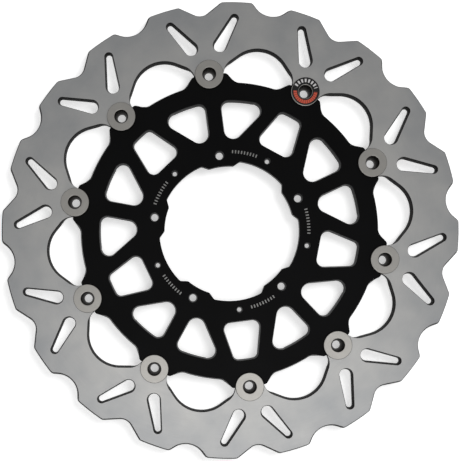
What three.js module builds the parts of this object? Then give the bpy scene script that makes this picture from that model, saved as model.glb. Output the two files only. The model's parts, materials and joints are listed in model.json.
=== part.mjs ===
// Floating brake disc rotor for a motorcycle front wheel.
//
// A steel friction ring with a wavy edge hangs on a black carrier by ten bobbins. Each bobbin sits in
// a hole that is half in the ring and half in the carrier, and a wave washer, a flat washer and a
// circlip hold it from behind.
//
// Millimetres. +Z is the axis of rotation and points out of the side with the bobbin heads. z = 0 is
// the lowest point, the tail ends of the bobbins. A bolt hole of the carrier lies on +Y.

import * as THREE from 'three';

const DEG = Math.PI / 180;

// ---- Driving dimensions ------------------------------------------------------------------------

// Levels along the axis
const PLATE_BOTTOM = 3.6; // back face of ring and carrier
const RING_THICKNESS = 5;
const CARRIER_THICKNESS = 5;
const FLANGE_GAP = 0.2; // running clearance above ring and carrier
const FLANGE_THICKNESS = 1.3;

// Pattern: bobbins every 36 degrees, bolt holes on every second one of their axes
const BOBBINS = 10;
const SECTOR = 360 / BOBBINS;
const ARMS = 5;
const BOBBIN_CIRCLE_R = 110.4;

// Friction ring, outer wave: two kinds of valley between lobes that end on the outer circle
const RING_R = 160;
const LOBE_CORNER_R = 2.6;
const LOBE_CORNER_ANGLE = 1.6; // degrees that a lobe's rounded corner takes up
const BOBBIN_VALLEY = { bottomR: 151.5, arcR: 9.5, flank: 31.8 };
const MIDDLE_VALLEY = { bottomR: 152.4, arcR: 15.6, flank: 42.5 };

// Friction ring, tapered slots, mirrored in pairs about each bobbin
const SLOT_WIDE_END = { x: 10.2, y: 129.9, r: 4.9 };
const SLOT_NARROW_END = { x: 22.6, y: 147, r: 3 };

// Friction ring, arches of the inner edge between two tabs
const ARCH_R = 23;
const ARCH_CENTRE_R = 106.2;
const ARCH_SPAN = 46; // degrees of arc on each side of the arch's own axis
const ARCH_HALF_WIDTH = 24.4;
const ARCH_CORNER_R = 11;

// Bobbin holes: half in the ring's tab, half in the carrier's tab
const HOLE_R = 7.6;
const SPLIT_GAP = 0.7;

// Carrier
const CARRIER_R = 103.9;
const TAB_FLANK = 38.2; // degrees
const TAB_ROOT = { angle: 8.44, cornerR: 7.9, cornerAngle: 3.4 };
const TAB_TIP_R = 3;
const BORE_PAD_R = 45.6;
const BORE_RELIEF_R = 49.2;
const BORE_PAD_HALF_ANGLE = 10.8;
const BORE_RELIEF_START = 16;
const BOLT_CIRCLE_R = 53.5;
const BOLT_HOLE_R = 3.3;
const SMALL_HOLE_CIRCLE_R = 55.8;
const SMALL_HOLE_R = 2.4;

// Windows of the carrier
const WINDOW_TOP_R = 91.6;
const TRIANGLE = { innerX: 5, flank: 38, flankX: 15.5, flankY: 64.4 };
const TRIANGLE_CORNERS = { topR: 4.7, topAngle: 4, outerR: 5.2, outerAngle: 6.4, lowR: 6.2 };
const TRAPEZOID = { topHalf: 8.6, lowHalf: 14.6, lowY: 63.6, topCornerR: 3.8, lowCornerR: 4.8 };

// Bobbin
const FLANGE_R = 10;
const SHANK_R = 7.4;
const TAIL_R = 6;
const GROOVE_R = 5.3;
const GROOVE_Z = [0.65, 1.85];
const SHOULDER_Z = 3.5;
const FUNNEL_R = 5;
const THROUGH_R = 2.7;
const THROUGH_TOP_Z = 3.4;
const ROUND_SEGMENTS = 16;

// Washers and circlip
const WASHER_INNER_R = 6.3;
const WASHER_OUTER_R = 9.6;
const FLAT_WASHER_Z = [1.8, 2.55];
const WAVE_SHEET = 0.4;
const WAVE_HEIGHT = 0.4;
const WAVE_MIDDLE_Z = 3.0;
const WAVES = 3;
const WAVE_SEGMENTS = 18;
const CIRCLIP_Z = [0.75, 1.75];
const CIRCLIP_INNER_R = 5.6;
const CIRCLIP_OUTER_R = 7.3;
const CIRCLIP_MOUTH = 32; // degrees from the middle of the opening to a lug
const LUG = { r: 1.5, holeR: 0.6, outward: 0.6, halfAngle: 13 };

// Marker ring on the head of one bobbin
const MARKED_BOBBIN = 9;
const MARKER_INNER_R = 5.5;
const MARKER_OUTER_R = 9.4;
const MARKER_THICKNESS = 0.3;

// Levels that follow from the ones above
const PLATE_TOP = PLATE_BOTTOM + RING_THICKNESS;
const FLANGE_BOTTOM = PLATE_TOP + FLANGE_GAP;
const FLANGE_TOP = FLANGE_BOTTOM + FLANGE_THICKNESS;

// ---- Outlines ----------------------------------------------------------------------------------

// Local frames have the axis of a bobbin, a gap or a hole along +Y and the disc's centre at 0.

function point(x, y, r = 0) {
  return { x, y, r };
}

// Degrees are counted from +Y, clockwise
function polar(radius, degrees, r = 0) {
  return point(radius * Math.sin(degrees * DEG), radius * Math.cos(degrees * DEG), r);
}

// Anticlockwise about the disc's centre
function turned(corner, degrees) {
  const c = Math.cos(degrees * DEG);
  const s = Math.sin(degrees * DEG);
  return point(c * corner.x - s * corner.y, s * corner.x + c * corner.y, corner.r);
}

function mirrored(corners) {
  return corners.map(({ x, y, r }) => point(-x, y, r)).reverse();
}

// Corners of one sector, given clockwise-side first, repeated all the way round
function around(sector, count) {
  const all = [];
  for (let k = 0; k < count; k += 1) {
    all.push(...sector.map((corner) => turned(corner, (k * 360) / count)));
  }
  return all;
}

function arc(radius, from, to, steps) {
  const corners = [];
  for (let i = 0; i <= steps; i += 1) {
    corners.push(polar(radius, from + ((to - from) * i) / steps));
  }
  return corners;
}

// Replaces each corner that has a radius by an arc tangent to its two sides
function rounded(corners, stepDegrees) {
  const points = [];
  corners.forEach((corner, i) => {
    const here = new THREE.Vector2(corner.x, corner.y);
    if (!corner.r) {
      points.push(here);
      return;
    }
    const last = corners[(i + corners.length - 1) % corners.length];
    const next = corners[(i + 1) % corners.length];
    const a = new THREE.Vector2(last.x, last.y).sub(here).normalize();
    const b = new THREE.Vector2(next.x, next.y).sub(here).normalize();
    const half = Math.acos(THREE.MathUtils.clamp(a.dot(b), -1, 1)) / 2;
    const centre = a.clone().add(b).setLength(corner.r / Math.sin(half)).add(here);
    const start = a.clone().multiplyScalar(corner.r / Math.tan(half)).add(here).sub(centre);
    const turn = Math.PI - 2 * half;
    const steps = Math.max(1, Math.round(turn / (stepDegrees * DEG)));
    const side = Math.sign(a.x * b.y - a.y * b.x);
    for (let k = 0; k <= steps; k += 1) {
      points.push(start.clone().rotateAround(new THREE.Vector2(), (-side * turn * k) / steps).add(centre));
    }
  });
  return points;
}

function circle(x, y, radius, steps) {
  const points = [];
  for (let k = 0; k < steps; k += 1) {
    const angle = (2 * Math.PI * k) / steps;
    points.push(new THREE.Vector2(x + radius * Math.cos(angle), y + radius * Math.sin(angle)));
  }
  return points;
}

function turnedPoints(points, degrees) {
  return points.map((p) => p.clone().rotateAround(new THREE.Vector2(), degrees * DEG));
}

function mirroredPoints(points) {
  return points.map((p) => new THREE.Vector2(-p.x, p.y)).reverse();
}

function plate(outline, holes, bottom, thickness) {
  const shape = new THREE.Shape(outline);
  shape.holes = holes.map((hole) => new THREE.Path(hole));
  const geometry = new THREE.ExtrudeGeometry(shape, { depth: thickness, bevelEnabled: false });
  return geometry.translate(0, 0, bottom);
}

// ---- Friction ring -----------------------------------------------------------------------------

// The sharp point of a valley, where its two flanks would meet
function valleyApex({ bottomR, arcR, flank }) {
  return point(0, bottomR + arcR - arcR / Math.cos(flank * DEG), arcR);
}

// The corner where a valley's flank reaches the outer circle
function valleyCorner(valley) {
  const apexY = valleyApex(valley).y;
  const c = Math.cos(valley.flank * DEG);
  const s = Math.sin(valley.flank * DEG);
  const along = Math.sqrt(RING_R ** 2 - (apexY * c) ** 2) - apexY * s;
  return point(along * c, apexY + along * s, LOBE_CORNER_R);
}

function ringOutline() {
  const near = valleyCorner(BOBBIN_VALLEY);
  const far = turned(mirrored([valleyCorner(MIDDLE_VALLEY)])[0], -SECTOR / 2);
  const angle = ({ x, y }) => Math.atan2(x, y) / DEG;
  const edge = arc(RING_R, angle(far) - LOBE_CORNER_ANGLE, angle(near) + LOBE_CORNER_ANGLE, 2);
  const lobe = [far, ...edge, near];
  const middle = turned(valleyApex(MIDDLE_VALLEY), -SECTOR / 2);
  const sector = [middle, ...lobe, valleyApex(BOBBIN_VALLEY), ...mirrored(lobe)];
  return rounded(around(sector, BOBBINS), 16);
}

// Inner edge: half an arch, down to the tab that carries half of a bobbin hole
function ringInnerEdge() {
  const halfArch = [];
  const steps = 6;
  for (let k = 0; k <= steps; k += 1) {
    const { x, y } = polar(ARCH_R, (-ARCH_SPAN * k) / steps);
    halfArch.push(point(x, ARCH_CENTRE_R + y));
  }
  const end = halfArch[halfArch.length - 1];
  const drop = (ARCH_HALF_WIDTH + end.x) * Math.tan(ARCH_SPAN * DEG);
  halfArch.push(point(-ARCH_HALF_WIDTH, end.y - drop, ARCH_CORNER_R));
  const tabY = BOBBIN_CIRCLE_R + SPLIT_GAP / 2;
  const s = Math.sin((SECTOR / 2) * DEG);
  const c = Math.cos((SECTOR / 2) * DEG);
  halfArch.push(point(-ARCH_HALF_WIDTH, (tabY - ARCH_HALF_WIDTH * s) / c));
  const right = halfArch.map((corner) => turned(corner, -SECTOR / 2));
  const left = mirrored(right).slice(0, -1);
  const sector = [...right, ...notch(1), ...left];
  return rounded(around(sector, BOBBINS), 15);
}

// Half of a bobbin hole, from +X round to -X. side is 1 in the ring's tab and -1 in the carrier's
function notch(side) {
  const lift = Math.asin(SPLIT_GAP / 2 / HOLE_R);
  const steps = 8;
  const corners = [];
  for (let k = 0; k <= steps; k += 1) {
    const angle = lift + ((Math.PI - 2 * lift) * k) / steps;
    corners.push(point(HOLE_R * Math.cos(angle), BOBBIN_CIRCLE_R + side * HOLE_R * Math.sin(angle)));
  }
  return corners;
}

// Outline round two circles of different size, made of two arcs and their common tangents
function slotOutline(wide, narrow) {
  const dx = narrow.x - wide.x;
  const dy = narrow.y - wide.y;
  const along = Math.atan2(dy, dx);
  const open = Math.acos((wide.r - narrow.r) / Math.hypot(dx, dy));
  const points = [];
  const addArc = (end, from, to, steps) => {
    for (let k = 0; k <= steps; k += 1) {
      const angle = from + ((to - from) * k) / steps;
      points.push(new THREE.Vector2(end.x + end.r * Math.cos(angle), end.y + end.r * Math.sin(angle)));
    }
  };
  addArc(narrow, along - open, along + open, 4);
  addArc(wide, along + open, along + 2 * Math.PI - open, 7);
  return points;
}

function slots() {
  const slot = slotOutline(SLOT_WIDE_END, SLOT_NARROW_END);
  const holes = [];
  for (let k = 0; k < BOBBINS; k += 1) {
    holes.push(turnedPoints(slot, k * SECTOR), turnedPoints(mirroredPoints(slot), k * SECTOR));
  }
  return holes;
}

function ringGeometry() {
  return plate(ringOutline(), [ringInnerEdge(), ...slots()], PLATE_BOTTOM, RING_THICKNESS);
}

// ---- Carrier -----------------------------------------------------------------------------------

// Outer edge: a plain arc under each arch of the ring, then up the flank of a tab
function carrierOutline() {
  const { angle, cornerR, cornerAngle } = TAB_ROOT;
  const tabY = BOBBIN_CIRCLE_R - SPLIT_GAP / 2;
  const s = Math.sin((SECTOR / 2) * DEG);
  const c = Math.cos((SECTOR / 2) * DEG);
  const root = polar(CARRIER_R, -angle, cornerR);
  const slope = Math.tan(TAB_FLANK * DEG);
  // where the flank meets the straight end of the tab, in the frame of the gap
  const tipX = (tabY / c - root.y - slope * root.x) / (slope + s / c);
  const tip = point(-tipX, root.y + slope * (tipX + root.x), TAB_TIP_R);
  const flank = [...arc(CARRIER_R, 0, cornerAngle - angle, 1), root, tip];
  const right = flank.map((corner) => turned(corner, -SECTOR / 2));
  const left = mirrored(right).slice(0, -1);
  return rounded(around([...right, ...notch(-1), ...left], BOBBINS), 18);
}

// Bore: five pads that centre the disc on the hub, with reliefs between them
function bore() {
  const pad = arc(BORE_PAD_R, BORE_PAD_HALF_ANGLE, -BORE_PAD_HALF_ANGLE, 5);
  const relief = arc(BORE_RELIEF_R, -BORE_RELIEF_START, BORE_RELIEF_START - 360 / ARMS, 8);
  return rounded(around([...pad, ...relief], ARMS), 15);
}

function triangleWindow() {
  const { innerX, flank, flankX, flankY } = TRIANGLE;
  const { topR, topAngle, outerR, outerAngle, lowR } = TRIANGLE_CORNERS;
  const slope = Math.tan(flank * DEG);
  const lineAtAxis = flankY - slope * flankX;
  // outer corner: the flank meets the concentric top side
  const a = 1 + slope ** 2;
  const b = slope * lineAtAxis;
  const outerX = (-b + Math.sqrt(b ** 2 - a * (lineAtAxis ** 2 - WINDOW_TOP_R ** 2))) / a;
  const from = Math.asin(outerX / WINDOW_TOP_R) / DEG - outerAngle;
  const to = Math.asin(innerX / WINDOW_TOP_R) / DEG + topAngle;
  return rounded(
    [
      point(innerX, Math.sqrt(WINDOW_TOP_R ** 2 - innerX ** 2), topR),
      point(innerX, lineAtAxis + slope * innerX, lowR),
      point(outerX, lineAtAxis + slope * outerX, outerR),
      ...arc(WINDOW_TOP_R, from, to, 2),
    ],
    22,
  );
}

function trapezoidWindow() {
  const { topHalf, lowHalf, lowY, topCornerR, lowCornerR } = TRAPEZOID;
  const topY = Math.sqrt(WINDOW_TOP_R ** 2 - topHalf ** 2);
  return rounded(
    [
      point(topHalf, topY, topCornerR),
      point(0, WINDOW_TOP_R),
      point(-topHalf, topY, topCornerR),
      point(-lowHalf, lowY, lowCornerR),
      point(lowHalf, lowY, lowCornerR),
    ],
    22,
  );
}

function carrierGeometry() {
  const triangle = triangleWindow();
  const holes = [bore()];
  for (let k = 0; k < ARMS; k += 1) {
    const boltAxis = (k * 360) / ARMS;
    const middleAxis = boltAxis + SECTOR;
    holes.push(turnedPoints(triangle, boltAxis));
    holes.push(turnedPoints(mirroredPoints(triangle), boltAxis));
    holes.push(turnedPoints(circle(0, BOLT_CIRCLE_R, BOLT_HOLE_R, 12), boltAxis));
    holes.push(turnedPoints(trapezoidWindow(), middleAxis));
    holes.push(turnedPoints(circle(0, SMALL_HOLE_CIRCLE_R, SMALL_HOLE_R, 10), middleAxis));
  }
  return plate(carrierOutline(), holes, PLATE_BOTTOM, CARRIER_THICKNESS);
}

// ---- Bobbin set --------------------------------------------------------------------------------

// A body turned about Z from a closed section of [radius, height] points
function turnedBody(section, segments) {
  const closed = [...section, section[0]].map(([radius, height]) => new THREE.Vector2(radius, height));
  return new THREE.LatheGeometry(closed, segments).rotateX(Math.PI / 2);
}

function bobbinGeometry() {
  return turnedBody(
    [
      [THROUGH_R, 0],
      [TAIL_R, 0],
      [TAIL_R, GROOVE_Z[0]],
      [GROOVE_R, GROOVE_Z[0]],
      [GROOVE_R, GROOVE_Z[1]],
      [TAIL_R, GROOVE_Z[1]],
      [TAIL_R, SHOULDER_Z],
      [SHANK_R, SHOULDER_Z],
      [SHANK_R, FLANGE_BOTTOM],
      [FLANGE_R, FLANGE_BOTTOM],
      [FLANGE_R, FLANGE_TOP],
      [FUNNEL_R, FLANGE_TOP],
      [THROUGH_R, THROUGH_TOP_Z],
    ],
    ROUND_SEGMENTS,
  );
}

function flatRing(innerR, outerR, bottom, top, segments) {
  const section = [
    [innerR, bottom],
    [outerR, bottom],
    [outerR, top],
    [innerR, top],
  ];
  return turnedBody(section, segments);
}

// A ring of sheet steel bent into three waves
function waveWasherGeometry() {
  const bottom = WAVE_MIDDLE_Z - WAVE_SHEET / 2;
  const geometry = flatRing(WASHER_INNER_R, WASHER_OUTER_R, bottom, bottom + WAVE_SHEET, WAVE_SEGMENTS);
  const place = geometry.attributes.position;
  for (let i = 0; i < place.count; i += 1) {
    const angle = Math.atan2(place.getY(i), place.getX(i));
    place.setZ(i, place.getZ(i) + (WAVE_HEIGHT / 2) * Math.cos(WAVES * angle));
  }
  return geometry;
}

// An open ring with a rounded lug and a plier hole at each end of its mouth, which faces +Y
function circlipGeometry() {
  const outline = [];
  const addArc = (x, y, radius, from, to, steps) => {
    for (let k = 0; k <= steps; k += 1) {
      const angle = (from + ((to - from) * k) / steps) * DEG;
      outline.push(new THREE.Vector2(x + radius * Math.cos(angle), y + radius * Math.sin(angle)));
    }
  };
  const middleR = (CIRCLIP_INNER_R + CIRCLIP_OUTER_R) / 2 + LUG.outward;
  const lugAt = (angle) => {
    return { angle, x: middleR * Math.cos(angle * DEG), y: middleR * Math.sin(angle * DEG) };
  };
  const left = lugAt(90 + CIRCLIP_MOUTH);
  const right = lugAt(90 - CIRCLIP_MOUTH);
  const start = left.angle + LUG.halfAngle;
  const end = right.angle - LUG.halfAngle + 360;
  addArc(0, 0, CIRCLIP_OUTER_R, start, end, 9);
  addArc(right.x, right.y, LUG.r, right.angle - 30, right.angle + 170, 4);
  addArc(0, 0, CIRCLIP_INNER_R, end, start, 9);
  addArc(left.x, left.y, LUG.r, left.angle - 170, left.angle + 30, 4);
  const holes = [left, right].map(({ x, y }) => circle(x, y, LUG.holeR, 5));
  return plate(outline, holes, CIRCLIP_Z[0], CIRCLIP_Z[1] - CIRCLIP_Z[0]);
}

// ---- Assembly ----------------------------------------------------------------------------------

const steel = new THREE.MeshStandardMaterial({ color: 0xa3a29f, roughness: 0.42, metalness: 0.9 });
const blackAnodised = new THREE.MeshStandardMaterial({ color: 0x121212, roughness: 0.5, metalness: 0.4 });
const turnedSteel = new THREE.MeshStandardMaterial({ color: 0xaaa69e, roughness: 0.35, metalness: 0.9 });
const springSteel = new THREE.MeshStandardMaterial({ color: 0x77756f, roughness: 0.45, metalness: 0.9 });
const blackSteel = new THREE.MeshStandardMaterial({ color: 0x26282b, roughness: 0.5, metalness: 0.7 });
const markerBlack = new THREE.MeshStandardMaterial({ color: 0x151515, roughness: 0.5, metalness: 0.1 });

function named(name, geometry, material) {
  const mesh = new THREE.Mesh(geometry, material);
  mesh.name = name;
  return mesh;
}

const rotor = new THREE.Group();
rotor.add(named('brake_ring', ringGeometry(), steel));
rotor.add(named('carrier', carrierGeometry(), blackAnodised));

const bobbin = bobbinGeometry();
const waveWasher = waveWasherGeometry();
const flatWasher = flatRing(WASHER_INNER_R, WASHER_OUTER_R, ...FLAT_WASHER_Z, ROUND_SEGMENTS);
const circlip = circlipGeometry();

for (let k = 0; k < BOBBINS; k += 1) {
  const number = String(k + 1).padStart(2, '0');
  const set = new THREE.Group();
  set.add(named(`bobbin_${number}`, bobbin, turnedSteel));
  set.add(named(`wave_washer_${number}`, waveWasher, springSteel));
  set.add(named(`flat_washer_${number}`, flatWasher, turnedSteel));
  set.add(named(`circlip_${number}`, circlip, blackSteel));
  if (k === MARKED_BOBBIN) {
    const top = FLANGE_TOP + MARKER_THICKNESS;
    const ring = flatRing(MARKER_INNER_R, MARKER_OUTER_R, FLANGE_TOP, top, ROUND_SEGMENTS);
    set.add(named('marker_ring', ring, markerBlack));
  }
  const place = turned(point(0, BOBBIN_CIRCLE_R), k * SECTOR);
  set.position.set(place.x, place.y, 0);
  set.rotation.z = k * SECTOR * DEG;
  rotor.add(set);
}

export default rotor;
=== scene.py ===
"""A floating motorcycle brake disc: a wavy, slotted steel ring on a black carrier, held by ten bobbins.

Outlines and constants are in millimetres, and turn into metres when a mesh is made. Local outlines
have the axis of a bobbin, a gap or a hole along +Y and the disc's centre at 0. A point of an outline
is a complex number.
"""
import cmath
import json
import math

import bmesh
import bpy
from mathutils import Matrix, Vector, geometry


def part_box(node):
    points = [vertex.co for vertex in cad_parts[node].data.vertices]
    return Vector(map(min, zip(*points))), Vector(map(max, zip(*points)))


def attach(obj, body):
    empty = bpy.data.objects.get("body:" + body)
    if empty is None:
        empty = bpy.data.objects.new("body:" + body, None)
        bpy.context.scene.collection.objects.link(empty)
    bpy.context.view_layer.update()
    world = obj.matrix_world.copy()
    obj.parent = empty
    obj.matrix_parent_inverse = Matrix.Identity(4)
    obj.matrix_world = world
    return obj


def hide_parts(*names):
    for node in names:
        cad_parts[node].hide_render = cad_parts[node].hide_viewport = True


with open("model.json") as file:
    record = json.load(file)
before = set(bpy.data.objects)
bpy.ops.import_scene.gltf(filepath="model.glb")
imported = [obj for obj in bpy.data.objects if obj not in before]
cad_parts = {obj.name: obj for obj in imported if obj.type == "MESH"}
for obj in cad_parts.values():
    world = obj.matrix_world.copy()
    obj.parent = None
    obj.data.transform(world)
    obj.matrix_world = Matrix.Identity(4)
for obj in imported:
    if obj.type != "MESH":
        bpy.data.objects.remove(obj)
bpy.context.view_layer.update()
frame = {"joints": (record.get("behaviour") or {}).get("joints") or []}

MM = 0.001
SECTOR = 36
ARMS = 5
BOBBINS = 10
MARKED_BOBBIN = 9

# Friction ring
RING_R = 160
LOBE_CORNER_R = 2.6
LOBE_CORNER_ANGLE = 1.2
BOBBIN_VALLEY = {"bottom": 151.5, "arc": 9.5, "flank": 31.8}
MIDDLE_VALLEY = {"bottom": 152.4, "arc": 15.6, "flank": 42.5}
SLOT_WIDE_END = {"at": 10.2 + 129.9j, "r": 4.9}
SLOT_NARROW_END = {"at": 22.6 + 147j, "r": 3}
ARCH_R = 23
ARCH_CENTRE_R = 106.2
ARCH_SPAN = 46
ARCH_HALF_WIDTH = 24.4
ARCH_CORNER_R = 11

# Bobbin holes, shared by ring and carrier
BOBBIN_CIRCLE_R = 110.4
HOLE_R = 7.6
SPLIT_GAP = 0.7

# Carrier; a room is the angle an arc leaves free for the rounding of the corner at its end
CARRIER_R = 103.9
TAB_FLANK = 38.2
TAB_ROOT_ANGLE = 8.44
TAB_ROOT_R = 7.9
TAB_ROOT_CORNER_ANGLE = 3.2
TAB_TIP_R = 3
BORE_PAD = {"r": 45.6, "half_angle": 10.8}
BORE_RELIEF = {"r": 49.2, "start": 16}
BORE_CORNER = {"r": 2.2, "room": 2.4}
BOLT_HOLE = {"circle": 53.5, "r": 3.3}
SMALL_HOLE = {"circle": 55.8, "r": 2.4}
WINDOW_TOP_R = 91.6
TRIANGLE = {"inner_x": 5, "flank": 38, "flank_at": 15.5 + 64.4j}
TRIANGLE_CORNERS = {"top": 5.5, "outer": 6, "low": 7}
TRIANGLE_ROOM = {"top": 4, "outer": 6.4}
TRAPEZOID = {"top_half": 8.6, "low_half": 14.6, "low_y": 63.6, "top": 4.6, "low": 5.6}
TRAPEZOID_ROOM = 2.6

# Edges: how far walls lean away from the material at the back, and the edges' rounding. The leans
# are chosen for the look. The CAD solids have straight walls.
ARCH_LEAN = 1.1
SLOT_LEAN = 1
RIM_LEAN = 1.4
RIM_ROUND = 0.3
HOLE_ROUND = 0.15
CARRIER_ROUND = 0.25
CARRIER_LEAN = 1.3
WINDOW_LEAN = 0.9
BOLT_HOLE_LEAN = 0.9
SMALL_HOLE_LEAN = 1
LEAN_CLEAR_R = 12.5
LEAN_FULL_R = 17

# Bobbin section
FLANGE_R = 10
SHANK_R = 7.4
TAIL_R = 6
GROOVE = {"r": 5.3, "low": 0.65, "high": 1.85}
SHOULDER_Z = 3.5
FLANGE_Z = (8.8, 10.1)
FUNNEL_R = 4.8
THROUGH = {"r": 2.9, "top": 3.4}
# Painted shade: the width of the near-black band round the flange's outer edge, in place of the shadow
# line between flange and ring
PAINTED_SHADE_RIM = 0.15
BRIGHT_FUNNEL_LIP = 0.12
ON_SURFACE = 0.05
THROUGH_MARGIN = 0.02

# Washers, circlip and marker
WASHER_R = (6.3, 9.6)
FLAT_WASHER_Z = (1.8, 2.55)
WAVE_SHEET_Z = (2.8, 3.2)
WAVE_HEIGHT = 0.4
WAVES = 3
CIRCLIP_Z = (0.75, 1.75)
CIRCLIP_R = (5.6, 7.3)
CIRCLIP_MOUTH = 32
CIRCLIP_ROUND = 0.1
MARKER_ROUND = 0.1
LUG = {"r": 1.5, "hole": 0.6, "outward": 0.6, "half_angle": 13, "inner": 30, "outer": 170}
MARKER_R = (5.1, 9.6)
MARKER_SHIFT = 0.4
MARKER_Z = (10.1, 10.4)

# Painted and etched marks; angles are counted from +X of the piece, anticlockwise
BAND = {"low": 5.9, "high": 8.3, "start": 203, "span": 182, "count": 30, "width": 0.82}
MARKS = {"low": 6.5, "high": 8.9, "from": 203, "to": 338, "count": 20, "width": 0.5}
ETCH = {"r": 55.6, "height": 2.2, "half_angle": 9.5, "count": 165, "width": 0.38}

# Smoothness: angles in degrees between points, and numbers of steps
CORNER_STEP = 6
SECTION_CORNER_STEP = 30
ARC_STEP = 1
NOTCH_STEPS = 24
ARCH_STEPS = 16
LUG_HOLE_STEPS = 20
LATHE_SEGMENTS = 96
SHARP_ANGLE = math.radians(32)
SAME_POINT = 1e-4

# Picture: the direction that is up, the point under the camera and where the camera looks
PICTURE_UP = 82.55
CAMERA_FOOT = (-36, -39.6)
CAMERA_HEIGHT = 609
CAMERA_TILT = (-0.89, -0.67)
CAMERA_LENS = 66.67
CAMERA_SHIFT = (0.1412, 0.145)

# Light: strength of the light from all round and of the floor's own glow, and the two lamps
SKY_LIGHT = 0.42
FLOOR_GLOW = 0.42
KEY = {"at": (1300, 1000, 1700), "size": 1500, "watts": 30}
SOFTBOX = {"at": (120, -600, 1500), "size": 1300, "watts": 4.1}
FLOOR_HALF_M = 6


# ---- Outlines ----------------------------------------------------------------------------------


def polar(radius, degrees):
    """A point at an angle counted from +Y, clockwise."""
    return radius * cmath.exp(1j * math.radians(90 - degrees))


def turned(corners, degrees):
    turn = cmath.exp(1j * math.radians(degrees))
    return [(point * turn, r) for point, r in corners]


def mirrored(corners):
    return [(-point.conjugate(), r) for point, r in reversed(corners)]


def around(sector, count):
    return [corner for k in range(count) for corner in turned(sector, k * 360 / count)]


def arc(radius, start, end):
    steps = max(1, round(abs(end - start) / ARC_STEP))
    return [(polar(radius, start + (end - start) * k / steps), 0) for k in range(steps + 1)]


def unit(z):
    return z / abs(z)


def rounded(corners, step=CORNER_STEP):
    """Replaces each corner that has a radius by an arc tangent to its two sides."""
    points = []
    for k, (here, r) in enumerate(corners):
        if not r:
            points.append(here)
            continue
        back = unit(corners[k - 1][0] - here)
        ahead = unit(corners[(k + 1) % len(corners)][0] - here)
        opening = cmath.phase(ahead / back)
        half = abs(opening) / 2
        centre = here + unit(back + ahead) * r / math.sin(half)
        start = here + back * r / math.tan(half) - centre
        turn = math.copysign(math.pi - 2 * half, -opening)
        steps = max(2, round(abs(math.degrees(turn)) / step))
        points += [centre + start * cmath.exp(1j * turn * i / steps) for i in range(steps + 1)]
    return points


def circle(centre, radius, steps=48):
    return [centre + cmath.rect(radius, 2 * math.pi * k / steps) for k in range(steps)]


def spun(points, degrees):
    return [point * cmath.exp(1j * math.radians(degrees)) for point in points]


def flipped(points):
    return [-point.conjugate() for point in reversed(points)]


# ---- Friction ring outlines --------------------------------------------------------------------


def valley_apex(valley):
    lift = valley["arc"] - valley["arc"] / math.cos(math.radians(valley["flank"]))
    return (valley["bottom"] + lift) * 1j, valley["arc"]


def valley_corner(valley):
    apex_y = valley_apex(valley)[0].imag
    flank = cmath.exp(1j * math.radians(valley["flank"]))
    along = math.sqrt(RING_R**2 - (apex_y * flank.real) ** 2) - apex_y * flank.imag
    return apex_y * 1j + along * flank, LOBE_CORNER_R


def angle_from_y(corner):
    return math.degrees(math.atan2(corner[0].real, corner[0].imag))


def ring_outline():
    near = valley_corner(BOBBIN_VALLEY)
    far = turned(mirrored([valley_corner(MIDDLE_VALLEY)]), -SECTOR / 2)[0]
    start = angle_from_y(far) - LOBE_CORNER_ANGLE
    end = angle_from_y(near) + LOBE_CORNER_ANGLE
    lobe = [far, *arc(RING_R, start, end), near]
    middle = turned([valley_apex(MIDDLE_VALLEY)], -SECTOR / 2)
    sector = [*middle, *lobe, valley_apex(BOBBIN_VALLEY), *mirrored(lobe)]
    return rounded(around(sector, BOBBINS))


def notch(side):
    """Half of a bobbin hole; side is 1 in the ring's tab and -1 in the carrier's."""
    lift = math.asin(SPLIT_GAP / 2 / HOLE_R)
    corners = []
    for k in range(NOTCH_STEPS + 1):
        swing = cmath.rect(HOLE_R, lift + (math.pi - 2 * lift) * k / NOTCH_STEPS)
        corners.append((complex(swing.real, BOBBIN_CIRCLE_R + side * swing.imag), 0))
    return corners


def ring_inner_edge():
    """Half an arch, down to the tab that carries half of a bobbin hole, and its mirror image."""
    arch = []
    for k in range(ARCH_STEPS + 1):
        arch.append((polar(ARCH_R, -ARCH_SPAN * k / ARCH_STEPS) + ARCH_CENTRE_R * 1j, 0))
    end = arch[-1][0]
    drop = (ARCH_HALF_WIDTH + end.real) * math.tan(math.radians(ARCH_SPAN))
    arch.append((complex(-ARCH_HALF_WIDTH, end.imag - drop), ARCH_CORNER_R))
    half_sector = math.radians(SECTOR / 2)
    tab_y = BOBBIN_CIRCLE_R + SPLIT_GAP / 2
    side_y = (tab_y - ARCH_HALF_WIDTH * math.sin(half_sector)) / math.cos(half_sector)
    arch.append((complex(-ARCH_HALF_WIDTH, side_y), 0))
    right = turned(arch, -SECTOR / 2)
    return rounded(around([*right, *notch(1), *mirrored(right)[:-1]], BOBBINS))


def slot_outline():
    """Two circles of different size joined by their common tangents."""
    wide, narrow = SLOT_WIDE_END, SLOT_NARROW_END
    line = narrow["at"] - wide["at"]
    along = cmath.phase(line)
    opening = math.acos((wide["r"] - narrow["r"]) / abs(line))
    points = []
    arcs = (
        (narrow, along - opening, along + opening),
        (wide, along + opening, along + 2 * math.pi - opening),
    )
    for end, start, stop in arcs:
        steps = round(math.degrees(stop - start) / CORNER_STEP)
        swing = [start + (stop - start) * k / steps for k in range(steps + 1)]
        points += [end["at"] + cmath.rect(end["r"], angle) for angle in swing]
    return points


def ring_slots():
    slot = slot_outline()
    pairs = [(spun(slot, k * SECTOR), spun(flipped(slot), k * SECTOR)) for k in range(BOBBINS)]
    return [one for pair in pairs for one in pair]


# ---- Carrier outlines --------------------------------------------------------------------------


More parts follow.
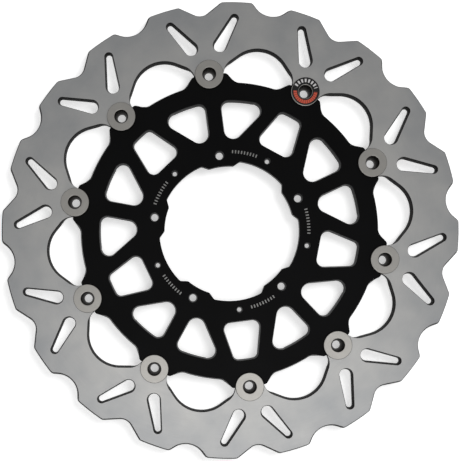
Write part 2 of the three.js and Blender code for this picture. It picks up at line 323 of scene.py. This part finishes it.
def carrier_outline():
    tab_y = BOBBIN_CIRCLE_R - SPLIT_GAP / 2
    half_sector = cmath.exp(1j * math.radians(SECTOR / 2))
    slope = math.tan(math.radians(TAB_FLANK))
    root = polar(CARRIER_R, -TAB_ROOT_ANGLE)
    reach = tab_y / half_sector.real - root.imag - slope * root.real
    tip_x = reach / (slope + half_sector.imag / half_sector.real)
    tip = complex(-tip_x, root.imag + slope * (tip_x + root.real))
    edge = arc(CARRIER_R, 0, TAB_ROOT_CORNER_ANGLE - TAB_ROOT_ANGLE)
    right = turned([*edge, (root, TAB_ROOT_R), (tip, TAB_TIP_R)], -SECTOR / 2)
    return rounded(around([*right, *notch(-1), *mirrored(right)[:-1]], BOBBINS))


def bore_outline():
    """Five pads and five reliefs with rounded corners; each arc leaves room for its corners."""
    pad = (BORE_PAD["r"], BORE_PAD["half_angle"], -BORE_PAD["half_angle"])
    relief = (BORE_RELIEF["r"], -BORE_RELIEF["start"], BORE_RELIEF["start"] - 360 / ARMS)
    corner_r, room = BORE_CORNER["r"], BORE_CORNER["room"]
    sector = []
    for radius, start, end in (pad, relief):
        sector.append((polar(radius, start), corner_r))
        sector += arc(radius, start - room, end + room)
        sector.append((polar(radius, end), corner_r))
    return rounded(around(sector, ARMS))


def triangle_window():
    inner_x = TRIANGLE["inner_x"]
    slope = math.tan(math.radians(TRIANGLE["flank"]))
    at_axis = TRIANGLE["flank_at"].imag - slope * TRIANGLE["flank_at"].real
    a = 1 + slope**2
    b = slope * at_axis
    outer_x = (-b + math.sqrt(b**2 - a * (at_axis**2 - WINDOW_TOP_R**2))) / a
    start = math.degrees(math.asin(outer_x / WINDOW_TOP_R)) - TRIANGLE_ROOM["outer"]
    end = math.degrees(math.asin(inner_x / WINDOW_TOP_R)) + TRIANGLE_ROOM["top"]
    return rounded(
        [
            (complex(inner_x, math.sqrt(WINDOW_TOP_R**2 - inner_x**2)), TRIANGLE_CORNERS["top"]),
            (complex(inner_x, at_axis + slope * inner_x), TRIANGLE_CORNERS["low"]),
            (complex(outer_x, at_axis + slope * outer_x), TRIANGLE_CORNERS["outer"]),
            *arc(WINDOW_TOP_R, start, end),
        ]
    )


def trapezoid_window():
    top_half, low_half, low_y = (TRAPEZOID[key] for key in ("top_half", "low_half", "low_y"))
    top_y = math.sqrt(WINDOW_TOP_R**2 - top_half**2)
    half_angle = math.degrees(math.asin(top_half / WINDOW_TOP_R)) - TRAPEZOID_ROOM
    return rounded(
        [
            (complex(top_half, top_y), TRAPEZOID["top"]),
            *arc(WINDOW_TOP_R, half_angle, -half_angle),
            (complex(-top_half, top_y), TRAPEZOID["top"]),
            (complex(-low_half, low_y), TRAPEZOID["low"]),
            (complex(low_half, low_y), TRAPEZOID["low"]),
        ]
    )


def carrier_holes():
    """The carrier's openings, each with how far its wall leans in at the back."""
    triangle = triangle_window()
    bolt_hole = circle(BOLT_HOLE["circle"] * 1j, BOLT_HOLE["r"])
    small_hole = circle(SMALL_HOLE["circle"] * 1j, SMALL_HOLE["r"])
    holes = [(bore_outline(), 0)]
    for k in range(ARMS):
        at_bolt = k * 360 / ARMS
        holes.append((spun(triangle, at_bolt), WINDOW_LEAN))
        holes.append((spun(flipped(triangle), at_bolt), WINDOW_LEAN))
        holes.append((spun(bolt_hole, at_bolt), BOLT_HOLE_LEAN))
        holes.append((spun(trapezoid_window(), at_bolt + SECTOR), WINDOW_LEAN))
        holes.append((spun(small_hole, at_bolt + SECTOR), SMALL_HOLE_LEAN))
    return holes


# ---- Mesh building -----------------------------------------------------------------------------


def area(loop):
    return sum((a.conjugate() * b).imag for a, b in zip(loop, loop[1:] + loop[:1])) / 2


def without_repeats(loop):
    return [point for k, point in enumerate(loop) if abs(point - loop[k - 1]) > SAME_POINT]


def outward(loop):
    """For each point, the direction away from the material, lengthened at corners."""
    directions = []
    for k, here in enumerate(loop):
        before = unit(here - loop[k - 1]) * -1j
        after = unit(loop[(k + 1) % len(loop)] - here) * -1j
        middle = unit(before + after)
        stretch = max(0.5, (middle.conjugate() * after).real)
        directions.append(middle / stretch)
    return directions


def lean_share(point):
    """0 at the bobbin holes, where walls stand straight, and 1 away from them."""
    nearest = min(abs(point - polar(BOBBIN_CIRCLE_R, k * SECTOR)) for k in range(BOBBINS))
    share = (nearest - LEAN_CLEAR_R) / (LEAN_FULL_R - LEAN_CLEAR_R)
    return min(1, max(0, share))


def edge_profile(bottom, top, lean, edge):
    """(offset, height, leaning part) down a wall with rounded edges, from the front face."""
    turns = [math.radians(a) for a in (0, 30, 60, 90)]
    down = [(edge * (math.sin(a) - 1), edge * (1 - math.cos(a))) for a in turns]
    levels = []
    for inset, depth in down + [(i, top - bottom - d) for i, d in reversed(down)]:
        levels.append((inset, top - depth, lean * depth / (top - bottom)))
    return levels


def sharpen(bm):
    """Smooth shading, with sharp edges at corners and round the flat faces."""
    for edge in bm.edges:
        level_sides = sum(abs(face.normal.z) > 0.999 for face in edge.link_faces)
        edge.smooth = edge.calc_face_angle(0) < SHARP_ANGLE and level_sides != 1
    for face in bm.faces:
        face.smooth = True


def finish_mesh(bm, name, materials):
    mesh = bpy.data.meshes.new(name)
    bm.to_mesh(mesh)
    bm.free()
    for material in materials:
        mesh.materials.append(material)
    return mesh


def cap(bm, rings, facing):
    """Fills the area between closed rings of vertices, in their common plane."""
    verts = [vert for ring in rings for vert in ring]
    filled = geometry.tessellate_polygon([[vert.co / MM for vert in ring] for ring in rings])
    for corners in filled:
        face = bm.faces.new([verts[c] for c in corners])
        face.normal_update()
        if face.normal.z * facing < 0:
            face.normal_flip()


def plate(name, loops, bottom, top, materials):
    """A flat plate with rounded edges and leaning walls.

    loops are the outer outline and then the holes, each with how far its wall leans away from the
    material at the back, and its edges' rounding. materials are those of the faces and the walls.
    """
    bm = bmesh.new()
    fronts, backs = [], []
    for order, (loop, lean, edge) in enumerate(loops):
        loop = without_repeats(loop)
        if (area(loop) > 0) != (order == 0):
            loop.reverse()
        away = outward(loop)
        shares = [lean_share(point) for point in loop]
        rings = []
        for inset, height, leaning in edge_profile(bottom, top, lean, edge):
            ring = []
            for point, direction, share in zip(loop, away, shares):
                moved = point + direction * (inset + leaning * share)
                ring.append(bm.verts.new(Vector((moved.real, moved.imag, height)) * MM))
            rings.append(ring)
        for upper, lower in zip(rings, rings[1:]):
            for k in range(len(loop)):
                after = (k + 1) % len(loop)
                face = bm.faces.new((upper[k], lower[k], lower[after], upper[after]))
                face.material_index = 1
        fronts.append(rings[0])
        backs.append(rings[-1])
    cap(bm, fronts, 1)
    cap(bm, backs, -1)
    bm.normal_update()
    sharpen(bm)
    return finish_mesh(bm, name, materials)


def lathe(name, corners, materials, pick=lambda radius, height: 0, shift=None):
    """A body turned about Z from a closed section of (radius + height j, corner radius) pairs.

    pick gives the material of a face from its middle, and shift a height added at an angle.
    """
    section = without_repeats(rounded(corners, SECTION_CORNER_STEP))
    if area(section) < 0:
        section.reverse()
    bm = bmesh.new()
    columns = []
    for s in range(LATHE_SEGMENTS):
        angle = 2 * math.pi * s / LATHE_SEGMENTS
        lift = shift(angle) if shift else 0
        place = [(p.real * math.cos(angle), p.real * math.sin(angle), p.imag + lift) for p in section]
        columns.append([bm.verts.new(Vector(xyz) * MM) for xyz in place])
    for s, column in enumerate(columns):
        following = columns[(s + 1) % LATHE_SEGMENTS]
        for k, point in enumerate(section):
            after = (k + 1) % len(section)
            middle = (point + section[after]) / 2
            face = bm.faces.new((column[k], following[k], following[after], column[after]))
            face.material_index = pick(middle.real, middle.imag)
    bm.normal_update()
    sharpen(bm)
    return finish_mesh(bm, name, materials)


# ---- Materials ---------------------------------------------------------------------------------


def add_node(tree, kind, inputs, **settings):
    made = tree.nodes.new(kind)
    for key, value in settings.items():
        setattr(made, key, value)
    for socket, value in inputs.items():
        if isinstance(value, bpy.types.NodeSocket):
            tree.links.new(value, made.inputs[socket])
        else:
            made.inputs[socket].default_value = value
    return made


def maths(tree, operation, *values):
    return add_node(tree, "ShaderNodeMath", dict(enumerate(values)), operation=operation).outputs[0]


def between(tree, value, low, high):
    above = maths(tree, "GREATER_THAN", value, low)
    return maths(tree, "MULTIPLY", above, maths(tree, "LESS_THAN", value, high))


def from_axis(tree, place):
    """The vector from the Z axis to a place, and its length in metres."""
    parts = add_node(tree, "ShaderNodeSeparateXYZ", {0: place})
    joined = add_node(tree, "ShaderNodeCombineXYZ", {0: parts.outputs[0], 1: parts.outputs[1]})
    flat = joined.outputs[0]
    length = add_node(tree, "ShaderNodeVectorMath", {0: flat}, operation="LENGTH")
    return flat, length.outputs["Value"]


def polar_coordinates(tree, place, start):
    """The distance from the axis in metres, and the angle from start as a share of a turn."""
    flat, radius = from_axis(tree, place)
    parts = add_node(tree, "ShaderNodeSeparateXYZ", {0: flat})
    angle = maths(tree, "ARCTAN2", parts.outputs[1], parts.outputs[0])
    share = maths(tree, "MULTIPLY_ADD", angle, 0.5 / math.pi, 1 - start / 360)
    return radius, maths(tree, "FRACT", share)


def ticks(tree, turn, count, width):
    """1 on evenly spaced ticks and 0 between them; width is a tick's share of its step."""
    step = maths(tree, "FRACT", maths(tree, "MULTIPLY", turn, count))
    return maths(tree, "LESS_THAN", step, width)


def product(tree, *values):
    total = values[0]
    for value in values[1:]:
        total = maths(tree, "MULTIPLY", total, value)
    return total


def noise(tree, vector, scale, detail=3, roughness=0.6):
    inputs = {"Vector": vector, "Scale": scale, "Detail": detail, "Roughness": roughness}
    return add_node(tree, "ShaderNodeTexNoise", inputs).outputs[0]


def ramp(tree, value, low, high):
    """A value from 0 to 1 stretched to the range low to high."""
    inputs = {"Value": value, "To Min": low, "To Max": high}
    return add_node(tree, "ShaderNodeMapRange", inputs).outputs[0]


def blend_colours(tree, share, first, second):
    mix = add_node(tree, "ShaderNodeMix", {0: share}, data_type="RGBA")
    for socket, value in ((mix.inputs[6], first), (mix.inputs[7], second)):
        if isinstance(value, bpy.types.NodeSocket):
            tree.links.new(value, socket)
        else:
            socket.default_value = (*value, 1)
    return mix.outputs[2]


def start_material(name, metallic, specular=0.5):
    material = bpy.data.materials.new(name)
    material.use_nodes = True
    tree = material.node_tree
    shader = tree.nodes["Principled BSDF"]
    shader.inputs["Metallic"].default_value = metallic
    shader.inputs["Specular IOR Level"].default_value = specular
    place = tree.nodes.new("ShaderNodeTexCoord").outputs["Object"]
    return material, tree, shader, place


def finish_surface(tree, shader, colour, roughness, height=None, strength=0.2, distance=0.0001):
    tree.links.new(colour, shader.inputs["Base Color"])
    tree.links.new(roughness, shader.inputs["Roughness"])
    if height is not None:
        inputs = {"Strength": strength, "Distance": distance, "Height": height}
        bump = add_node(tree, "ShaderNodeBump", inputs)
        tree.links.new(bump.outputs[0], shader.inputs["Normal"])


def round_coordinates(tree, place, across, along):
    """Coordinates that change fast with the radius and slowly round the axis, without a seam."""
    flat, radius = from_axis(tree, place)
    heading = add_node(tree, "ShaderNodeVectorMath", {0: flat}, operation="NORMALIZE").outputs[0]
    stretched = add_node(
        tree, "ShaderNodeVectorMath", {0: heading, "Scale": along}, operation="SCALE"
    ).outputs[0]
    split = add_node(tree, "ShaderNodeSeparateXYZ", {0: stretched})
    fast = maths(tree, "MULTIPLY", radius, across)
    joined = add_node(
        tree, "ShaderNodeCombineXYZ", {0: split.outputs[0], 1: split.outputs[1], 2: fast}
    )
    return joined.outputs[0], radius


def ground_steel():
    """Satin steel ground in circles, with faint clouds of warmer and cooler grey, and painted shade
    that darkens the face towards the outer rim.
    """
    material, tree, shader, place = start_material("ground_steel", 1)
    circles, radius = round_coordinates(tree, place, 2500, 9)
    lines = noise(tree, circles, 1, 4, 0.7)
    clouds = noise(tree, place, 42, 3, 0.5)
    # Painted shade: the colour darkens from 122 mm out to 156 mm from the axis
    inputs = {"Value": radius, "From Min": 0.122, "From Max": 0.156, "To Min": -0.6, "To Max": -0.25}
    painted_rim_shade = add_node(tree, "ShaderNodeMapRange", inputs).outputs[0]
    shade = maths(tree, "MULTIPLY_ADD", clouds, 1.8, painted_rim_shade)
    base = blend_colours(tree, shade, (0.585, 0.58, 0.565), (0.425, 0.435, 0.445))
    colour = blend_colours(tree, ramp(tree, lines, 0, 0.25), base, (0.36, 0.36, 0.36))
    roughness = ramp(tree, lines, 0.34, 0.46)
    finish_surface(tree, shader, colour, roughness, lines, 0.12, 0.00004)
    return material


def painted_shade_walls():
    """The walls and edge roundings: painted shade, near-black steel in place of the shade on the walls,
    with streaks through the thickness.
    """
    material, tree, shader, place = start_material("painted_shade_walls", 0, 0.05)
    streaks = noise(tree, place, 900, 3, 0.6)
    # Painted shade: near-black, a little lighter in streaks
    colour = blend_colours(tree, streaks, (0.004, 0.004, 0.0045), (0.014, 0.0135, 0.013))
    finish_surface(tree, shader, colour, ramp(tree, streaks, 0.4, 0.6), streaks, 0.3, 0.00005)
    return material


def black_anodised():
    """Black anodised aluminium with a fine grain and five short rows of light etched ticks."""
    material, tree, shader, place = start_material("black_anodised", 1)
    grain = noise(tree, place, 2600, 3, 0.6)
    clouds = noise(tree, place, 35, 2, 0.5)
    black = blend_colours(tree, clouds, (0.008, 0.008, 0.008), (0.0105, 0.0105, 0.011))
    radius, turn = polar_coordinates(tree, place, -ETCH["half_angle"])
    low, high = ((ETCH["r"] + side * ETCH["height"] / 2) * MM for side in (-1, 1))
    arm = maths(tree, "FRACT", maths(tree, "MULTIPLY", turn, ARMS))
    in_row = maths(tree, "LESS_THAN", arm, 2 * ETCH["half_angle"] * ARMS / 360)
    height = add_node(tree, "ShaderNodeSeparateXYZ", {0: place}).outputs[2]
    etched = product(
        tree,
        between(tree, radius, low, high),
        maths(tree, "GREATER_THAN", height, sum(level("carrier")) / 2 * MM),
        in_row,
        ticks(tree, turn, ETCH["count"], ETCH["width"]),
    )
    colour = blend_colours(tree, etched, black, (0.34, 0.34, 0.33))
    finish_surface(tree, shader, colour, ramp(tree, grain, 0.38, 0.56), grain, 0.15, 0.00003)
    return material


def turned_steel():
    """Warm grey hardened steel with fine turning rings."""
    material, tree, shader, place = start_material("turned_steel", 1)
    rings, _ = round_coordinates(tree, place, 5200, 1.2)
    lines = noise(tree, rings, 1, 4, 0.65)
    clouds = noise(tree, place, 180, 2, 0.5)
    base = blend_colours(tree, clouds, (0.44, 0.425, 0.40), (0.53, 0.515, 0.485))
    colour = blend_colours(tree, ramp(tree, lines, 0, 0.4), base, (0.33, 0.32, 0.30))
    finish_surface(tree, shader, colour, ramp(tree, lines, 0.24, 0.38), lines, 0.25, 0.00005)
    return material


def painted_shade_bore():
    """The bobbin's funnel, through bore and flange rim: painted shade, almost black steel in place of
    the shade there.
    """
    material, tree, shader, place = start_material("painted_shade_bore", 0.9)
    stains = noise(tree, place, 500, 3, 0.6)
    # Painted shade: near-black, a little browner in random patches
    colour = blend_colours(tree, stains, (0.010, 0.008, 0.007), (0.045, 0.038, 0.032))
    finish_surface(tree, shader, colour, ramp(tree, stains, 0.35, 0.55), stains, 0.2, 0.00004)
    return material


def spring_steel():
    """Dull grey steel of the wave washers."""
    material, tree, shader, place = start_material("spring_steel", 1)
    streaks = noise(tree, place, 700, 3, 0.6)
    colour = blend_colours(tree, streaks, (0.20, 0.19, 0.175), (0.32, 0.31, 0.29))
    finish_surface(tree, shader, colour, ramp(tree, streaks, 0.28, 0.42), streaks, 0.15, 0.00004)
    return material


def bright_washer():
    """Bright steel of the flat washers, with turning rings."""
    material, tree, shader, place = start_material("bright_washer", 1)
    rings, _ = round_coordinates(tree, place, 4200, 2)
    lines = noise(tree, rings, 1, 3, 0.6)
    colour = blend_colours(tree, lines, (0.42, 0.42, 0.41), (0.56, 0.555, 0.54))
    finish_surface(tree, shader, colour, ramp(tree, lines, 0.22, 0.36), lines, 0.15, 0.00004)
    return material


def phosphated_steel():
    """Dark grainy steel of the circlips."""
    material, tree, shader, place = start_material("phosphated_steel", 0.8)
    grain = noise(tree, place, 3200, 3, 0.7)
    colour = blend_colours(tree, grain, (0.016, 0.017, 0.018), (0.045, 0.046, 0.048))
    finish_surface(tree, shader, colour, ramp(tree, grain, 0.45, 0.65), grain, 0.3, 0.00004)
    return material


def marker_paint():
    """Black with light ticks round the far side and a blocked orange band on the near side."""
    material, tree, shader, place = start_material("marker_paint", 0, 0.3)
    grain = noise(tree, place, 2000, 2, 0.5)
    black = blend_colours(tree, grain, (0.005, 0.005, 0.005), (0.011, 0.011, 0.011))
    radius, turn = polar_coordinates(tree, place, BAND["start"])
    band = product(
        tree,
        between(tree, radius, BAND["low"] * MM, BAND["high"] * MM),
        between(tree, turn, 0, BAND["span"] / 360),
        ticks(tree, turn, BAND["count"], BAND["width"]),
    )
    marks = product(
        tree,
        between(tree, radius, MARKS["low"] * MM, MARKS["high"] * MM),
        between(tree, turn, MARKS["from"] / 360, MARKS["to"] / 360),
        ticks(tree, turn, MARKS["count"], MARKS["width"]),
    )
    worn = noise(tree, place, 900, 2, 0.5)
    orange = blend_colours(tree, worn, (0.40, 0.05, 0.045), (0.52, 0.10, 0.04))
    banded = blend_colours(tree, band, black, orange)
    colour = blend_colours(tree, marks, banded, (0.50, 0.49, 0.49))
    finish_surface(tree, shader, colour, ramp(tree, grain, 0.35, 0.5), grain, 0.1, 0.00003)
    return material


# ---- Pieces ------------------------------------------------------------------------------------


def corner_list(*corners):
    """Section corners from (radius, height, rounding) triples."""
    return [(complex(radius, height), r) for radius, height, r in corners]


def bobbin_mesh(steel, bore):
    bottom, top = FLANGE_Z
    section = corner_list(
        (THROUGH["r"], 0, 0.15),
        (TAIL_R, 0, 0.3),
        (TAIL_R, GROOVE["low"], 0.06),
        (GROOVE["r"], GROOVE["low"], 0.06),
        (GROOVE["r"], GROOVE["high"], 0.06),
        (TAIL_R, GROOVE["high"], 0.06),
        (TAIL_R, SHOULDER_Z, 0.1),
        (SHANK_R, SHOULDER_Z, 0.15),
        (SHANK_R, bottom, 0.1),
        (FLANGE_R, bottom, 0.2),
        (FLANGE_R, top, 0.35),
        (FUNNEL_R, top, 0.3),
        (THROUGH["r"], THROUGH["top"], 0.4),
    )

    def pick(radius, height):
        # Faces in the funnel below its lip, in the through bore and in a thin band round the flange's
        # rim get the painted shade
        edge = FUNNEL_R - (top - height) * (FUNNEL_R - THROUGH["r"]) / (top - THROUGH["top"])
        below_lip = THROUGH["top"] < height < top - BRIGHT_FUNNEL_LIP
        in_funnel = below_lip and radius < edge + ON_SURFACE
        in_painted_rim_shade = radius > FLANGE_R - PAINTED_SHADE_RIM
        in_bore = radius <= THROUGH["r"] + THROUGH_MARGIN
        return 1 if in_funnel or in_painted_rim_shade or in_bore else 0

    return lathe("bobbin", section, [steel, bore], pick)


def washer_mesh(name, heights, material, shift=None):
    (inner, outer), (low, high) = WASHER_R, heights
    section = corner_list(
        (inner, low, 0.08), (outer, low, 0.12), (outer, high, 0.12), (inner, high, 0.08)
    )
    return lathe(name, section, [material], shift=shift)


def wave_lift(angle):
    """Height of the wave washer's sheet; the angle is counted as in the CAD solid, from +X."""
    return WAVE_HEIGHT / 2 * math.cos(WAVES * angle)


def circlip_outlines():
    """An open ring with a rounded lug at each end of its mouth, which faces +Y, and its holes."""
    inner, outer = CIRCLIP_R

    def swing(centre, radius, start, end):
        steps = max(2, round(abs(end - start) / CORNER_STEP))
        angles = [math.radians(start + (end - start) * k / steps) for k in range(steps + 1)]
        return [centre + cmath.rect(radius, angle) for angle in angles]

    middle = (inner + outer) / 2 + LUG["outward"]
    left_angle, right_angle = 90 + CIRCLIP_MOUTH, 90 - CIRCLIP_MOUTH
    left, right = (cmath.rect(middle, math.radians(a)) for a in (left_angle, right_angle))
    start = left_angle + LUG["half_angle"]
    end = right_angle - LUG["half_angle"] + 360
    outline = swing(0, outer, start, end)
    outline += swing(right, LUG["r"], right_angle - LUG["inner"], right_angle + LUG["outer"])
    outline += swing(0, inner, end, start)
    outline += swing(left, LUG["r"], left_angle - LUG["outer"], left_angle + LUG["inner"])
    return [outline, *(circle(lug, LUG["hole"], LUG_HOLE_STEPS) for lug in (left, right))]


def circlip_mesh(material):
    loops = [(outline, 0, CIRCLIP_ROUND) for outline in circlip_outlines()]
    return plate("circlip", loops, *CIRCLIP_Z, [material, material])


def marker_mesh(material):
    """A thin ring laid on the bobbin's flange, a little off its axis on the outside."""
    inner, outer = MARKER_R
    outlines = circle(MARKER_SHIFT * 1j, outer, LATHE_SEGMENTS), circle(0, inner, LATHE_SEGMENTS)
    loops = [(outline, 0, MARKER_ROUND) for outline in outlines]
    return plate("marker", loops, *MARKER_Z, [material, material])


def place_piece(mesh, node, body, slot, matrix=None):
    piece = bpy.data.objects.new(node + "_finished", mesh)
    bpy.context.scene.collection.objects.link(piece)
    if matrix is not None:
        piece.matrix_world = matrix
    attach(piece, body)
    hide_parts(node)


def level(node):
    low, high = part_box(node)
    return low.z / MM, high.z / MM


def make_ring(faces, walls):
    loops = [(ring_outline(), RIM_LEAN, RIM_ROUND), (ring_inner_edge(), ARCH_LEAN, HOLE_ROUND)]
    loops += [(slot, SLOT_LEAN, HOLE_ROUND) for slot in ring_slots()]
    # The walls and their rounded edges take the second material, near-black painted shade
    mesh = plate("ring", loops, *level("brake_ring"), [faces, walls])
    place_piece(mesh, "brake_ring", "ring", "ring_steel")


def make_carrier(black):
    loops = [(carrier_outline(), CARRIER_LEAN, CARRIER_ROUND)]
    loops += [(hole, lean, CARRIER_ROUND) for hole, lean in carrier_holes()]
    mesh = plate("carrier", loops, *level("carrier"), [black, black])
    place_piece(mesh, "carrier", "carrier", "carrier_black")


def make_bobbin_sets():
    meshes = {
        "bobbin": (bobbin_mesh(turned_steel(), painted_shade_bore()), "bobbin_steel"),
        "wave_washer": (
            washer_mesh("wave_washer", WAVE_SHEET_Z, spring_steel(), wave_lift),
            "spring_steel",
        ),
        "flat_washer": (washer_mesh("flat_washer", FLAT_WASHER_Z, bright_washer()), "washer_steel"),
        "circlip": (circlip_mesh(phosphated_steel()), "circlip_black"),
    }
    marker = marker_mesh(marker_paint())
    for k in range(BOBBINS):
        number = f"{k + 1:02d}"
        body = f"bobbin_set_{number}"
        joint = next(j for j in frame["joints"] if j["child"] == body)
        x, y, _ = joint["pos_m"]
        matrix = Matrix.Translation((x, y, 0)) @ Matrix.Rotation(math.radians(k * SECTOR), 4, "Z")
        for kind, (mesh, slot) in meshes.items():
            place_piece(mesh, f"{kind}_{number}", body, slot, matrix)
        if k == MARKED_BOBBIN:
            place_piece(marker, "marker_ring", body, "marker_black", matrix)


# ---- Studio ------------------------------------------------------------------------------------


def picture_axes():
    """The directions that are right and up in the picture, in the disc's plane."""
    up = cmath.exp(1j * math.radians(PICTURE_UP))
    right = up * -1j
    return Vector((right.real, right.imag, 0)), Vector((up.real, up.imag, 0))


def in_picture(x, y, z):
    """A point x to the right and y up in the picture, z in front of the floor, in metres."""
    right, up = picture_axes()
    return (right * x + up * y + Vector((0, 0, z))) * MM


def make_camera():
    data = bpy.data.cameras.new("camera")
    data.lens = CAMERA_LENS
    data.shift_x, data.shift_y = CAMERA_SHIFT
    data.clip_start = 0.01
    camera = bpy.data.objects.new("camera", data)
    bpy.context.scene.collection.objects.link(camera)
    right, up = picture_axes()
    tilt_x, tilt_y = (math.sin(math.radians(angle)) for angle in CAMERA_TILT)
    ahead = (right * tilt_x + up * tilt_y - Vector((0, 0, 1))).normalized()
    right = (right - ahead * right.dot(ahead)).normalized()
    above = right.cross(ahead)
    turn = Matrix((right, above, -ahead)).transposed().to_4x4()
    camera.matrix_world = Matrix.Translation(in_picture(*CAMERA_FOOT, CAMERA_HEIGHT)) @ turn
    bpy.context.scene.camera = camera


def floor_material():
    material, tree, shader, place = start_material("white_floor", 0, 0.2)
    dust = noise(tree, place, 6, 2, 0.5)
    colour = blend_colours(tree, dust, (0.90, 0.90, 0.90), (0.93, 0.93, 0.93))
    finish_surface(tree, shader, colour, ramp(tree, dust, 0.7, 0.8))
    shader.inputs["Emission Color"].default_value = (1, 1, 1, 1)
    shader.inputs["Emission Strength"].default_value = FLOOR_GLOW
    return material


def make_floor():
    half = FLOOR_HALF_M
    mesh = bpy.data.meshes.new("floor")
    corners = [(-half, -half, 0), (half, -half, 0), (half, half, 0), (-half, half, 0)]
    mesh.from_pydata(corners, [], [(0, 1, 2, 3)])
    mesh.materials.append(floor_material())
    floor = bpy.data.objects.new("floor", mesh)
    bpy.context.scene.collection.objects.link(floor)


def add_light(name, lamp):
    """A round lamp that points at the middle of the disc."""
    data = bpy.data.lights.new(name, "AREA")
    data.shape = "DISK"
    data.size = lamp["size"] * MM
    data.energy = lamp["watts"]
    light = bpy.data.objects.new(name, data)
    bpy.context.scene.collection.objects.link(light)
    start = in_picture(*lamp["at"])
    turn = (-start).to_track_quat("-Z", "Y").to_matrix().to_4x4()
    light.matrix_world = Matrix.Translation(start) @ turn
    return light


def make_light():
    """Light from all round, a key lamp that only casts shadows, and a softbox for the highlight."""
    world = bpy.data.worlds.new("studio")
    world.use_nodes = True
    world.node_tree.nodes["Background"].inputs["Color"].default_value = (1, 1, 1, 1)
    world.node_tree.nodes["Background"].inputs["Strength"].default_value = SKY_LIGHT
    bpy.context.scene.world = world
    key = add_light("key", KEY)
    key.visible_glossy = False
    add_light("softbox", SOFTBOX)


make_ring(ground_steel(), painted_shade_walls())
make_carrier(black_anodised())
make_bobbin_sets()
make_floor()
make_light()
make_camera()
bpy.context.scene.view_settings.view_transform = "Standard"
